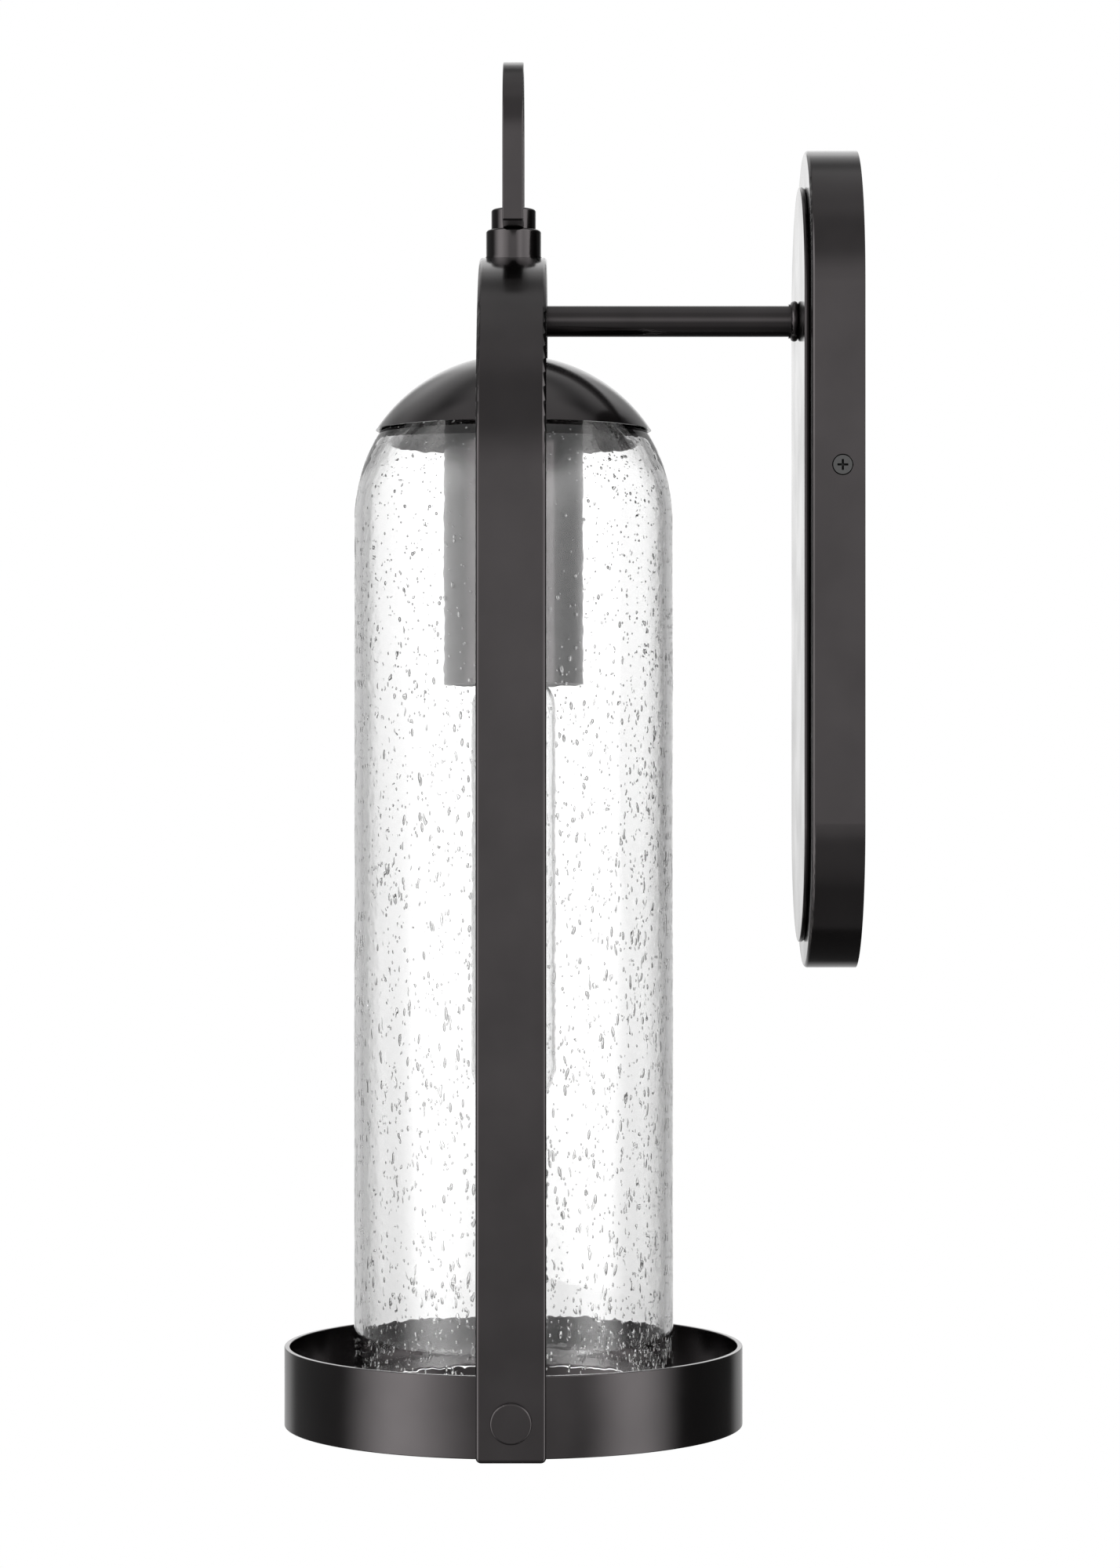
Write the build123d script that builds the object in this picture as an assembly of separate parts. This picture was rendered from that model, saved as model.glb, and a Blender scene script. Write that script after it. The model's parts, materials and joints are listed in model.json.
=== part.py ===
from build123d import *
import math
import os

# Outdoor wall sconce: a stadium canopy on the wall, a short round arm, and a strap lantern
# with a seeded glass bell hung under a dome cap. Millimetres, +Z up. The wall is the plane
# Y = 0 and the lantern stands out towards -Y. Z = 0 is the height of the junction box.

# Clearances
thread_gap = 0.05
seat_gap = 0.05
hole_gap = 0.2
moving_gap = 0.3

# Wall canopy and the face plate on it
canopy_width = 110.0
canopy_height = 309.4
canopy_depth = 19.6
canopy_wall = 1.5
canopy_edge_r = 1.4
canopy_centre_z = -32.0
plate_inset = 11.7
plate_drop = 2.0
plate_thick = 2.05
plate_edge_r = 0.45
plate_back_r = 1.2
plate_stud_r = 2.0
plate_stud_drops = (40.0, 110.0)
plate_nut_flats = 7.0
plate_nut_thick = 3.2

# Bracket that stays on the junction box, and the two screws through the canopy's sides
bracket_thick = 1.6
bracket_height = 25.0
bracket_ear_reach = 14.0
bracket_wire_hole_r = 9.0
box_hole_spacing = 69.85
box_hole_r = 2.4
side_screw_r = 2.0
side_screw_head_r = 3.5
side_screw_head_gap = 0.45
side_screw_length = 12.0
side_screw_from_wall = 8.3
side_screw_recess = 4.0
recess_slot_width = 0.8
recess_depth = 1.3
dimple_rise = 1.0
dimple_margin = 1.6

# Earth connection
ground_screw_r = 2.0
ground_screw_head_r = 4.2
ground_screw_head_thick = 2.0
ground_screw_length = 6.0
ground_screw_x = 17.0
ground_wire_r = 0.9
ground_tag_thick = 0.8
ground_tag_margin = 3.2
ground_barrel_r = 1.9
ground_barrel_length = 9.0

# Arm
arm_reach = 129.5
arm_below_plate_top = 50.5
arm_r = 5.9
pipe_r = 4.9
pipe_bore_r = 3.5
pipe_nut_flats = 14.0
pipe_nut_thick = 4.0
pipe_washer_r = 8.2
pipe_washer_thick = 1.0
pipe_tail = 1.5
bead_r = 7.7
bead_width = 2.9
bead_step_r = 6.5
bead_step_width = 0.7

# Hub on the lantern axis: between the strap's crown and the dome cap
hub_r = 11.0
hub_above_arm = 20.5
hub_below_arm = 14.4
hub_thread = 7.0

# Strap frame and the open ring at its foot
strap_width = 25.4
strap_thick = 3.0
strap_outer_r = 90.0
strap_height = 442.6
strap_edge_r = 1.4
strap_corner_r = 2.0
ring_height = 29.9
ring_wall = 2.0
ring_edge_r = 0.4
ring_lift = 1.0
bolt_r = 2.5
bolt_below_middle = 1.4
bolt_head_r = 7.55
bolt_head_thick = 2.2
bolt_head_edge_r = 0.7
bolt_washer_r = 5.5
bolt_washer_thick = 1.0
bolt_nut_flats = 8.0
bolt_nut_thick = 4.0
bolt_tail = 1.0

# Knob of two collars and the loop that stands in it
knob_base_r = 10.45
knob_base_height = 10.9
knob_top_r = 8.45
knob_top_height = 8.0
knob_edge_r = 1.0
knob_lip = 0.3
knob_lip_height = 0.6
knob_roof = 1.5
stud_r = 3.0
stud_in_hub = 10.0
loop_width = 60.0
loop_height = 63.6
loop_bar_width = 7.8
loop_bar_thick = 3.0
loop_corner_r = 0.8
loop_edge_r = 0.5

# Dome cap, glass bell and what clamps them to the centre pipe
cap_r = 62.1
cap_wall = 0.9
cap_seat_r = 13.0
cap_drop = 27.1
cap_gasket_thick = 1.0
cap_to_glass = 0.5
glass_wall = 3.2
glass_hole_r = 7.0
glass_lift = 13.5
glass_gasket_thick = 1.0
clamp_washer_r = 13.5
clamp_washer_thick = 1.5

# Socket cup and lampholder
cup_r = 26.5
cup_wall = 1.2
cup_length = 112.1
cup_edge_r = 0.5
holder_mouth_recess = 2.6
holder_r = 18.9
holder_length = 47.0
holder_floor = 14.0
holder_cap_wall = 1.2
holder_cap_skirt = 12.0
holder_cap_air = 4.5
holder_neck_r = 8.0
holder_neck_length = 12.0
holder_screw_r = 1.5
holder_screw_length = 5.0
shell_wall = 0.5
contact_r = 4.0
contact_thick = 0.8
lead_hole_depth = 6.0

# Clear tubular lamp with a 26 mm screw base
bulb_r = 16.0
bulb_length = 188.0
bulb_wall = 0.8
bulb_base_r = 13.0
bulb_base_wall = 0.5
bulb_base_length = 21.0
bulb_insulator_length = 4.5
bulb_tip_r = 4.8
bulb_tip_length = 1.5
bulb_base_drop = 2.0
bulb_neck_depth = 5.0
bulb_shoulder = 8.0
stem_length = 42.0
stem_r = 3.2
support_wire_r = 0.45
support_spread = 6.0
support_length = 80.0
filament_r = 0.3
filament_rise = 60.0

# Mains leads
lead_r = 1.1
lead_spacing = 2.6
lead_bend_r = 5.0
lead_hub_bend_r = 6.0
lead_tail_z = -40.0

# Places worked out from the sizes above
axis_y = -arm_reach
canopy_front_y = -canopy_depth
canopy_inside_y = canopy_front_y + canopy_wall
plate_front_y = canopy_front_y - plate_thick
plate_width = canopy_width - 2 * plate_inset
plate_height = canopy_height - 2 * plate_inset
plate_centre_z = canopy_centre_z - plate_drop
arm_z = plate_centre_z + plate_height / 2 - arm_below_plate_top
side_screw_y = -side_screw_from_wall
ear_outer_x = canopy_width / 2 - canopy_wall - dimple_rise - seat_gap

tag_y = canopy_inside_y + ground_tag_thick
arm_washer_y = tag_y + pipe_washer_thick
arm_nut_y = arm_washer_y + pipe_nut_thick
arm_pipe_end_y = arm_nut_y + pipe_tail
bead_front_y = plate_front_y - bead_width
bead_step_y = bead_front_y - bead_step_width

strap_inner_r = strap_outer_r - strap_thick
strap_inner_top = arm_z + hub_above_arm
strap_top = strap_inner_top + strap_thick
strap_centre_z = strap_top - strap_outer_r
strap_foot = strap_top - strap_height
ring_outer_r = strap_inner_r - hole_gap
ring_inner_r = ring_outer_r - ring_wall
ring_foot = strap_foot + ring_lift
bolt_z = ring_foot + ring_height / 2 - bolt_below_middle

knob_step = strap_top + knob_base_height
knob_crest = knob_step + knob_top_height

cap_seat_z = arm_z - hub_below_arm
dome_centre_z = cap_seat_z - math.sqrt(cap_r**2 - cap_seat_r**2)
cap_rim_z = cap_seat_z - cap_drop
cap_inside_z = cap_seat_z - cap_wall
glass_r = cap_r - cap_wall - cap_to_glass
glass_inner_r = glass_r - glass_wall
glass_top = cap_inside_z - cap_gasket_thick
glass_inside_z = glass_top - glass_wall
glass_foot = ring_foot + glass_lift
clamp_top = glass_inside_z - glass_gasket_thick
clamp_nut_top = clamp_top - clamp_washer_thick
cup_top = clamp_nut_top - pipe_nut_thick
cup_foot = cup_top - cup_length
cup_inside_z = cup_top - cup_wall
cup_nut_foot = cup_inside_z - pipe_nut_thick

holder_mouth = cup_foot + holder_mouth_recess
holder_top = holder_mouth + holder_length
holder_cap_floor = holder_top + holder_cap_air
holder_cap_top = holder_cap_floor + holder_cap_wall
holder_neck_top = holder_cap_top + holder_neck_length
holder_bore_top = holder_top - holder_floor
pipe_foot = holder_cap_top
pipe_head = cap_seat_z + hub_thread

bulb_base_foot = holder_mouth - bulb_base_drop
bulb_base_top = bulb_base_foot + bulb_base_length
bulb_insulator_top = bulb_base_top + bulb_insulator_length
bulb_tip_top = bulb_insulator_top + bulb_tip_length
bulb_foot = bulb_tip_top - bulb_length
bulb_neck_r = bulb_base_r - bulb_base_wall - seat_gap
shell_inner_r = bulb_base_r + moving_gap
shell_outer_r = shell_inner_r + shell_wall
stem_foot = bulb_base_foot - stem_length
support_foot = stem_foot - support_length

lantern_axis = Pos(0, axis_y, 0)


# Building blocks
def rod(radius, start, end):
    length = (Vector(*end) - Vector(*start)).length
    return Solid.make_cylinder(radius, length, Plane(origin=start, z_dir=Vector(*end) - Vector(*start)))


def tube(outer_r, inner_r, start, end):
    return rod(outer_r, start, end) - rod(inner_r, start, end)


def hex_nut(across_flats, bore_r, start, end):
    along = Vector(*end) - Vector(*start)
    outline = Plane(origin=start, z_dir=along) * RegularPolygon(across_flats / 2, 6, major_radius=False)
    return extrude(outline, amount=along.length) - rod(bore_r, start, end)


def stadium(width, height, centre_z, back_y, front_y):
    outline = Plane.XZ.offset(-back_y) * Pos(0, centre_z) * SlotOverall(height, width, rotation=90)
    return extrude(outline, amount=back_y - front_y)


def turned(outline):
    return revolve(Plane.XZ * make_face(Polyline(*outline, close=True)), Axis.Z)


def turned_edges(edges):
    return revolve(Plane.XZ * make_face(edges), Axis.Z)


def dome_point(radius, height):
    return (math.sqrt(radius**2 - (height - dome_centre_z) ** 2), height)


def dome_arc(radius, low_z, high_z):
    low = math.asin((low_z - dome_centre_z) / radius)
    high = math.asin((high_z - dome_centre_z) / radius)
    half = (low + high) / 2
    middle = (radius * math.cos(half), dome_centre_z + radius * math.sin(half))
    return ThreePointArc(dome_point(radius, low_z), middle, dome_point(radius, high_z))


def both_sides(solid):
    return Compound(children=[solid, mirror(solid, about=Plane.YZ)])


def along_lantern(radius, low_z, high_z):
    return rod(radius, (0, 0, low_z), (0, 0, high_z))


def wire(path, radius):
    return sweep(Plane(path @ 0, z_dir=path % 0) * Circle(radius), path=path)


def side_screw_point(side, from_middle):
    return (side * from_middle, side_screw_y, 0)


# Wall canopy: an open-backed pan with a dimpled hole in each side for the flat-head screws
def wall_canopy():
    pan = stadium(canopy_width, canopy_height, canopy_centre_z, 0, canopy_front_y)
    pan = fillet(pan.faces().sort_by(Axis.Y)[0].edges(), canopy_edge_r)
    inner_width = canopy_width - 2 * canopy_wall
    inner_height = canopy_height - 2 * canopy_wall
    pan -= stadium(inner_width, inner_height, canopy_centre_z, 0, canopy_inside_y)
    inner_x = inner_width / 2
    dimple_r = side_screw_head_r + dimple_margin
    for side in (-1, 1):
        pan += rod(dimple_r, side_screw_point(side, inner_x), side_screw_point(side, inner_x - dimple_rise))
        pan -= countersink(side)
    pan -= rod(pipe_r + hole_gap, (0, canopy_front_y, arm_z), (0, canopy_inside_y, arm_z))
    for drop in plate_stud_drops:
        stud_z = plate_centre_z - drop
        pan -= rod(plate_stud_r + hole_gap, (0, canopy_front_y, stud_z), (0, canopy_inside_y, stud_z))
    return pan


def countersink(side):
    face_x = canopy_width / 2
    head_depth = side_screw_head_r - side_screw_r
    hole_r = side_screw_r + hole_gap
    plane = Plane(origin=side_screw_point(side, face_x), z_dir=(-side, 0, 0))
    cone = Solid.make_cone(side_screw_head_r + side_screw_head_gap, hole_r, head_depth, plane)
    hole_end = face_x - canopy_wall - dimple_rise
    return cone + rod(hole_r, side_screw_point(side, face_x), side_screw_point(side, hole_end))


# Raised face plate with two weld studs on its back
def face_plate():
    plate = stadium(plate_width, plate_height, plate_centre_z, canopy_front_y, plate_front_y)
    plate = fillet(plate.faces().sort_by(Axis.Y)[0].edges(), plate_edge_r)
    plate = fillet(plate.faces().sort_by(Axis.Y)[-1].edges(), plate_back_r)
    plate -= rod(pipe_r + hole_gap, (0, plate_front_y, arm_z), (0, canopy_front_y, arm_z))
    stud_end = canopy_inside_y + plate_nut_thick + plate_stud_r / 2
    for drop in plate_stud_drops:
        stud_z = plate_centre_z - drop
        plate += rod(plate_stud_r, (0, canopy_front_y, stud_z), (0, stud_end, stud_z))
    return plate


def face_plate_nuts():
    nuts = []
    for drop in plate_stud_drops:
        start = (0, canopy_inside_y, plate_centre_z - drop)
        end = (0, canopy_inside_y + plate_nut_thick, plate_centre_z - drop)
        nuts.append(hex_nut(plate_nut_flats, plate_stud_r + thread_gap, start, end))
    return Compound(children=nuts)


# Crossbar on the junction box: its bent ears take the side screws, its box holes stay empty
def mounting_bracket():
    bar = Pos(0, -bracket_thick / 2, 0) * Box(2 * ear_outer_x, bracket_thick, bracket_height)
    for side in (-1, 1):
        ear_centre = (side * (ear_outer_x - bracket_thick / 2), -bracket_ear_reach / 2, 0)
        bar += Pos(*ear_centre) * Box(bracket_thick, bracket_ear_reach, bracket_height)
        ear_face = side_screw_point(side, ear_outer_x)
        ear_back = side_screw_point(side, ear_outer_x - bracket_thick)
        bar -= rod(side_screw_r + thread_gap, ear_face, ear_back)
        hole_x = side * box_hole_spacing / 2
        bar -= rod(box_hole_r, (hole_x, 0, 0), (hole_x, -bracket_thick, 0))
    bar -= rod(bracket_wire_hole_r, (0, 0, 0), (0, -bracket_thick, 0))
    bar -= rod(ground_screw_r + thread_gap, (ground_screw_x, 0, 0), (ground_screw_x, -bracket_thick, 0))
    return bar


def canopy_side_screws():
    face_x = canopy_width / 2
    head_depth = side_screw_head_r - side_screw_r
    plane = Plane(origin=side_screw_point(1, face_x), z_dir=(-1, 0, 0))
    screw = Solid.make_cone(side_screw_head_r, side_screw_r, head_depth, plane)
    shank_start = side_screw_point(1, face_x - head_depth)
    shank_end = side_screw_point(1, face_x - side_screw_length)
    screw += rod(side_screw_r, shank_start, shank_end)
    recess = Pos(face_x - recess_depth / 2, side_screw_y, 0)
    screw -= recess * Box(recess_depth, side_screw_recess, recess_slot_width)
    screw -= recess * Box(recess_depth, recess_slot_width, side_screw_recess)
    return both_sides(screw)


# Earth: screw on the bracket, tag under the arm's nut, bare wire between them
def ground_screw():
    under_head = -bracket_thick - 2 * (ground_wire_r + seat_gap)
    head_top = under_head - ground_screw_head_thick
    shank_end = under_head + ground_screw_length
    screw = rod(ground_screw_r, (ground_screw_x, under_head, 0), (ground_screw_x, shank_end, 0))
    screw += rod(ground_screw_head_r, (ground_screw_x, under_head, 0), (ground_screw_x, head_top, 0))
    slot_depth = ground_screw_head_thick / 2
    slot_centre = Pos(ground_screw_x, head_top + slot_depth / 2, 0)
    return screw - slot_centre * Box(4 * ground_screw_head_r, slot_depth, recess_slot_width)


def barrel_place():
    barrel_x = pipe_washer_r + hole_gap + ground_barrel_r
    barrel_y = canopy_inside_y + ground_barrel_r
    return barrel_x, barrel_y


def ground_tag():
    barrel_x, barrel_y = barrel_place()
    tag = rod(pipe_r + ground_tag_margin, (0, canopy_inside_y, arm_z), (0, tag_y, arm_z))
    tab_centre = (barrel_x / 2, (canopy_inside_y + tag_y) / 2, arm_z)
    tag += Pos(*tab_centre) * Box(barrel_x, ground_tag_thick, 2 * ground_barrel_r)
    barrel_foot = arm_z - ground_barrel_length / 2
    barrel_top = arm_z + ground_barrel_r
    tag += rod(ground_barrel_r, (barrel_x, barrel_y, barrel_foot), (barrel_x, barrel_y, barrel_top))
    tag -= rod(pipe_r + hole_gap, (0, canopy_inside_y, arm_z), (0, tag_y, arm_z))
    wire_hole_r = ground_wire_r + seat_gap
    wire_end = arm_z - ground_barrel_length / 4
    return tag - rod(wire_hole_r, (barrel_x, barrel_y, barrel_foot), (barrel_x, barrel_y, wire_end))


def ground_lead():
    barrel_x, barrel_y = barrel_place()
    screw_side_x = ground_screw_x - ground_screw_r - ground_wire_r - seat_gap
    screw_side_y = -bracket_thick - ground_wire_r - seat_gap
    start_z = arm_z - ground_barrel_length / 4
    bend_top = arm_z - 2 * ground_barrel_length
    bend_foot = bracket_height
    path = FilletPolyline(
        (barrel_x, barrel_y, start_z),
        (barrel_x, barrel_y, bend_top),
        (screw_side_x, screw_side_y, bend_foot),
        (screw_side_x, screw_side_y, -ground_screw_head_r),
        radius=ground_barrel_length,
    )
    return wire(path, ground_wire_r)


# Arm: a sleeve over a threaded pipe, drawn tight by a nut inside the canopy
def arm_tube():
    sleeve = tube(arm_r, pipe_r + thread_gap, (0, axis_y, arm_z), (0, bead_step_y, arm_z))
    return sleeve - lantern_axis * along_lantern(hub_r + seat_gap, cap_seat_z, strap_inner_top)


def arm_bead():
    round_r = bead_width / 2
    step = tube(bead_step_r, pipe_r + thread_gap, (0, bead_step_y, arm_z), (0, bead_front_y, arm_z))
    bead = tube(bead_r, pipe_r + thread_gap, (0, bead_front_y, arm_z), (0, plate_front_y, arm_z))
    rims = bead.edges().filter_by(GeomType.CIRCLE).sort_by(SortBy.RADIUS)[-2:]
    return fillet(rims, round_r - seat_gap) + step


def arm_pipe():
    start = (0, axis_y + hub_r - hub_thread, arm_z)
    return tube(pipe_r, pipe_bore_r, start, (0, arm_pipe_end_y, arm_z))


def arm_lock_washer():
    return tube(pipe_washer_r, pipe_r + hole_gap, (0, tag_y, arm_z), (0, arm_washer_y, arm_z))


def arm_lock_nut():
    return hex_nut(pipe_nut_flats, pipe_r + thread_gap, (0, arm_washer_y, arm_z), (0, arm_nut_y, arm_z))


# Hub: carries the strap above, the arm at its side and the pipe of the lantern below
def centre_hub():
    reach = 2 * hub_r
    hub = along_lantern(hub_r, cap_seat_z, strap_top)
    hub &= rod(strap_inner_r - seat_gap, (0, -reach, strap_centre_z), (0, reach, strap_centre_z))
    hub -= along_lantern(pipe_r + thread_gap, cap_seat_z, pipe_head)
    hub -= along_lantern(pipe_bore_r, cap_seat_z, arm_z + pipe_bore_r)
    hub -= along_lantern(stud_r + thread_gap, strap_inner_top - stud_in_hub, strap_top)
    hub -= rod(pipe_r + thread_gap, (0, hub_r - hub_thread, arm_z), (0, reach, arm_z))
    hub -= rod(pipe_bore_r, (0, 0, arm_z), (0, reach, arm_z))
    return lantern_axis * hub


# Strap: one flat bar bent to an arch with two straight legs
def strap_outline(half_span):
    leg = strap_centre_z - strap_foot
    legs = Pos(0, strap_centre_z - leg / 2) * Rectangle(2 * half_span, leg)
    return legs + Pos(0, strap_centre_z) * Circle(half_span)


def strap_frame():
    band = strap_outline(strap_outer_r) - strap_outline(strap_inner_r)
    strap = extrude(Plane.XZ * band, amount=strap_width / 2, both=True)
    feet = strap.edges().filter_by(Axis.X).group_by(Axis.Z)[0]
    strap = fillet(feet, strap_corner_r)
    sides = strap.faces().filter_by(Axis.Y)
    strap = fillet(sides.edges(), strap_edge_r)
    strap -= rod(bolt_r + hole_gap, (-strap_outer_r, 0, bolt_z), (strap_outer_r, 0, bolt_z))
    strap -= along_lantern(stud_r + hole_gap, strap_inner_top - strap_thick, strap_top)
    return lantern_axis * strap


# Open ring between the strap's feet, with its bolts, washers and nuts
def bottom_ring():
    ring = tube(ring_outer_r, ring_inner_r, (0, 0, ring_foot), (0, 0, ring_foot + ring_height))
    ring = fillet(ring.edges().filter_by(GeomType.CIRCLE), ring_edge_r)
    ring -= rod(bolt_r + hole_gap, (-strap_outer_r, 0, bolt_z), (strap_outer_r, 0, bolt_z))
    return lantern_axis * ring


def washer_face_x():
    return math.sqrt(ring_inner_r**2 - bolt_washer_r**2)


def ring_bolts():
    head_x = strap_outer_r + bolt_head_thick
    end_x = washer_face_x() - bolt_washer_thick - bolt_nut_thick - bolt_tail
    head = rod(bolt_head_r, (strap_outer_r, 0, bolt_z), (head_x, 0, bolt_z))
    head = fillet(head.edges().filter_by(GeomType.CIRCLE).sort_by(Axis.X)[-1:], bolt_head_edge_r)
    bolt = head + rod(bolt_r, (strap_outer_r, 0, bolt_z), (end_x, 0, bolt_z))
    return lantern_axis * both_sides(bolt)


def ring_bolt_washers():
    face = washer_face_x()
    back = face - bolt_washer_thick
    washer = tube(bolt_washer_r, bolt_r + hole_gap, (face, 0, bolt_z), (back, 0, bolt_z))
    return lantern_axis * both_sides(washer)


def ring_bolt_nuts():
    face = washer_face_x() - bolt_washer_thick
    back = face - bolt_nut_thick
    nut = hex_nut(bolt_nut_flats, bolt_r + thread_gap, (face, 0, bolt_z), (back, 0, bolt_z))
    return lantern_axis * both_sides(nut)


# Knob: the lower collar is coped to the arch, the upper one straddles the loop's bar
def knob_base():
    collar = along_lantern(knob_base_r, strap_centre_z, knob_step)
    collar = fillet(collar.edges().filter_by(GeomType.CIRCLE).sort_by(Axis.Z)[-1:], knob_edge_r)
    collar += along_lantern(knob_base_r + knob_lip, strap_centre_z, strap_top + knob_lip_height)
    reach = 2 * knob_base_r
    collar -= rod(strap_outer_r + seat_gap, (0, -reach, strap_centre_z), (0, reach, strap_centre_z))
    collar -= along_lantern(stud_r + hole_gap, strap_centre_z, knob_step)
    return lantern_axis * collar


def knob_top():
    collar = along_lantern(knob_top_r, knob_step, knob_crest)
    collar = fillet(collar.edges().filter_by(GeomType.CIRCLE).sort_by(Axis.Z)[-1:], knob_edge_r)
    slot_height = loop_bar_thick + seat_gap
    slot_centre = Pos(0, 0, knob_step + slot_height / 2)
    collar -= slot_centre * Box(4 * knob_top_r, loop_bar_width + 2 * seat_gap, slot_height)
    collar -= along_lantern(stud_r + thread_gap, knob_step, knob_crest - knob_roof)
    return lantern_axis * collar


def top_stud():
    return lantern_axis * along_lantern(stud_r, strap_inner_top - stud_in_hub, knob_crest - knob_roof)


def loop_outline(half_width, foot):
    arch_z = knob_step + loop_height - loop_width / 2
    body = Pos(0, (arch_z + foot) / 2) * Rectangle(2 * half_width, arch_z - foot)
    return body + Pos(0, arch_z) * Circle(half_width)


def loop_handle():
    half_width = loop_width / 2
    band = loop_outline(half_width, knob_step)
    band -= loop_outline(half_width - loop_bar_thick, knob_step + loop_bar_thick)
    loop = extrude(Plane.XZ * band, amount=loop_bar_width / 2, both=True)
    corners = loop.edges().filter_by(Axis.Y).group_by(Axis.Z)[0]
    loop = fillet(corners, loop_corner_r)
    loop = fillet(loop.faces().filter_by(Axis.Y).edges(), loop_edge_r)
    loop -= along_lantern(stud_r + hole_gap, knob_step, knob_step + loop_bar_thick)
    return lantern_axis * loop


# Dome cap: a thin spherical shell with a small flat seat under the hub
def dome_cap():
    inner_r = cap_r - cap_wall
    seat_inner = dome_point(inner_r, cap_inside_z)
    hole_r = pipe_r + hole_gap
    edges = [
        dome_arc(cap_r, cap_rim_z, cap_seat_z),
        Line(dome_point(cap_r, cap_seat_z), (hole_r, cap_seat_z)),
        Line((hole_r, cap_seat_z), (hole_r, cap_inside_z)),
        Line((hole_r, cap_inside_z), seat_inner),
        dome_arc(inner_r, cap_rim_z, cap_inside_z),
        Line(dome_point(inner_r, cap_rim_z), dome_point(cap_r, cap_rim_z)),
    ]
    return lantern_axis * turned_edges(edges)


def cap_gasket():
    gasket_r = min(cap_seat_r, dome_point(cap_r - cap_wall, cap_inside_z)[0]) - hole_gap
    low, high = (0, 0, glass_top), (0, 0, cap_inside_z)
    return lantern_axis * tube(gasket_r, pipe_r + hole_gap, low, high)


# Glass bell: hemispherical head with a flat pad round its hole, straight wall, rounded foot
def glass_shade():
    foot_z = glass_foot + glass_wall / 2
    middle_r = glass_r - glass_wall / 2
    edges = [
        ThreePointArc((glass_inner_r, foot_z), (middle_r, glass_foot), (glass_r, foot_z)),
        Line((glass_r, foot_z), (glass_r, dome_centre_z)),
        dome_arc(glass_r, dome_centre_z, glass_top),
        Line(dome_point(glass_r, glass_top), (glass_hole_r, glass_top)),
        Line((glass_hole_r, glass_top), (glass_hole_r, glass_inside_z)),
        Line((glass_hole_r, glass_inside_z), dome_point(glass_inner_r, glass_inside_z)),
        dome_arc(glass_inner_r, dome_centre_z, glass_inside_z),
        Line((glass_inner_r, dome_centre_z), (glass_inner_r, foot_z)),
    ]
    return lantern_axis * turned_edges(edges)


def glass_gasket():
    gasket_r = min(clamp_washer_r, dome_point(glass_inner_r, glass_inside_z)[0] - hole_gap)
    low, high = (0, 0, clamp_top), (0, 0, glass_inside_z)
    return lantern_axis * tube(gasket_r, pipe_r + hole_gap, low, high)


def clamp_washer():
    low, high = (0, 0, clamp_nut_top), (0, 0, clamp_top)
    return lantern_axis * tube(clamp_washer_r, pipe_r + hole_gap, low, high)


def clamp_nut():
    low, high = (0, 0, cup_top), (0, 0, clamp_nut_top)
    return lantern_axis * hex_nut(pipe_nut_flats, pipe_r + thread_gap, low, high)


def centre_pipe():
    return lantern_axis * tube(pipe_r, pipe_bore_r, (0, 0, pipe_foot), (0, 0, pipe_head))


# Socket cup: an open-bottomed can round the lampholder
def socket_cup():
    cup = along_lantern(cup_r, cup_foot, cup_top)
    cup = fillet(cup.edges().filter_by(GeomType.CIRCLE), cup_edge_r)
    cup -= along_lantern(cup_r - cup_wall, cup_foot, cup_inside_z)
    cup -= along_lantern(pipe_r + hole_gap, cup_inside_z, cup_top)
    return lantern_axis * cup


def cup_nut():
    low, high = (0, 0, cup_nut_foot), (0, 0, cup_inside_z)
    return lantern_axis * hex_nut(pipe_nut_flats, pipe_r + thread_gap, low, high)


# Lampholder: threaded cap on the pipe, porcelain body, screw shell and centre contact
def lampholder_cap():
    skirt_in = holder_r + seat_gap
    skirt_out = skirt_in + holder_cap_wall
    skirt_foot = holder_top - holder_cap_skirt
    neck_in = pipe_r + thread_gap
    outline = [
        (neck_in, holder_neck_top),
        (holder_neck_r, holder_neck_top),
        (holder_neck_r, holder_cap_top),
        (skirt_out, holder_cap_top),
        (skirt_out, skirt_foot),
        (skirt_in, skirt_foot),
        (skirt_in, holder_top),
        (skirt_in - holder_cap_wall, holder_top),
        (skirt_in - holder_cap_wall, holder_cap_floor),
        (neck_in, holder_cap_floor),
    ]
    cap = turned(outline)
    screw_z = holder_cap_top + holder_neck_length / 2
    cap -= rod(holder_screw_r + thread_gap, (0, 0, screw_z), (skirt_out, 0, screw_z))
    return lantern_axis * cap


def lampholder_set_screw():
    screw_z = holder_cap_top + holder_neck_length / 2
    start_x = pipe_r + seat_gap
    screw = rod(holder_screw_r, (start_x, 0, screw_z), (start_x + holder_screw_length, 0, screw_z))
    slot_depth = holder_screw_r / 2
    slot_centre = Pos(start_x + holder_screw_length - slot_depth / 2, 0, screw_z)
    return lantern_axis * (screw - slot_centre * Box(slot_depth, 4 * holder_screw_r, recess_slot_width))


def lampholder_body():
    body = along_lantern(holder_r, holder_mouth, holder_top)
    body -= along_lantern(shell_outer_r + seat_gap, holder_mouth, holder_bore_top)
    for side in (-1, 1):
        lead_x = side * lead_spacing / 2
        body -= rod(lead_r + seat_gap, (lead_x, 0, holder_top - lead_hole_depth), (lead_x, 0, holder_top))
    return lantern_axis * body


def screw_shell():
    shell_foot = holder_mouth + shell_wall
    return lantern_axis * tube(shell_outer_r, shell_inner_r, (0, 0, shell_foot), (0, 0, holder_bore_top))


def centre_contact():
    plate = along_lantern(shell_inner_r - moving_gap, holder_bore_top - contact_thick, holder_bore_top)
    button = along_lantern(contact_r, bulb_tip_top + moving_gap, holder_bore_top)
    return lantern_axis * (plate + button)


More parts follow.
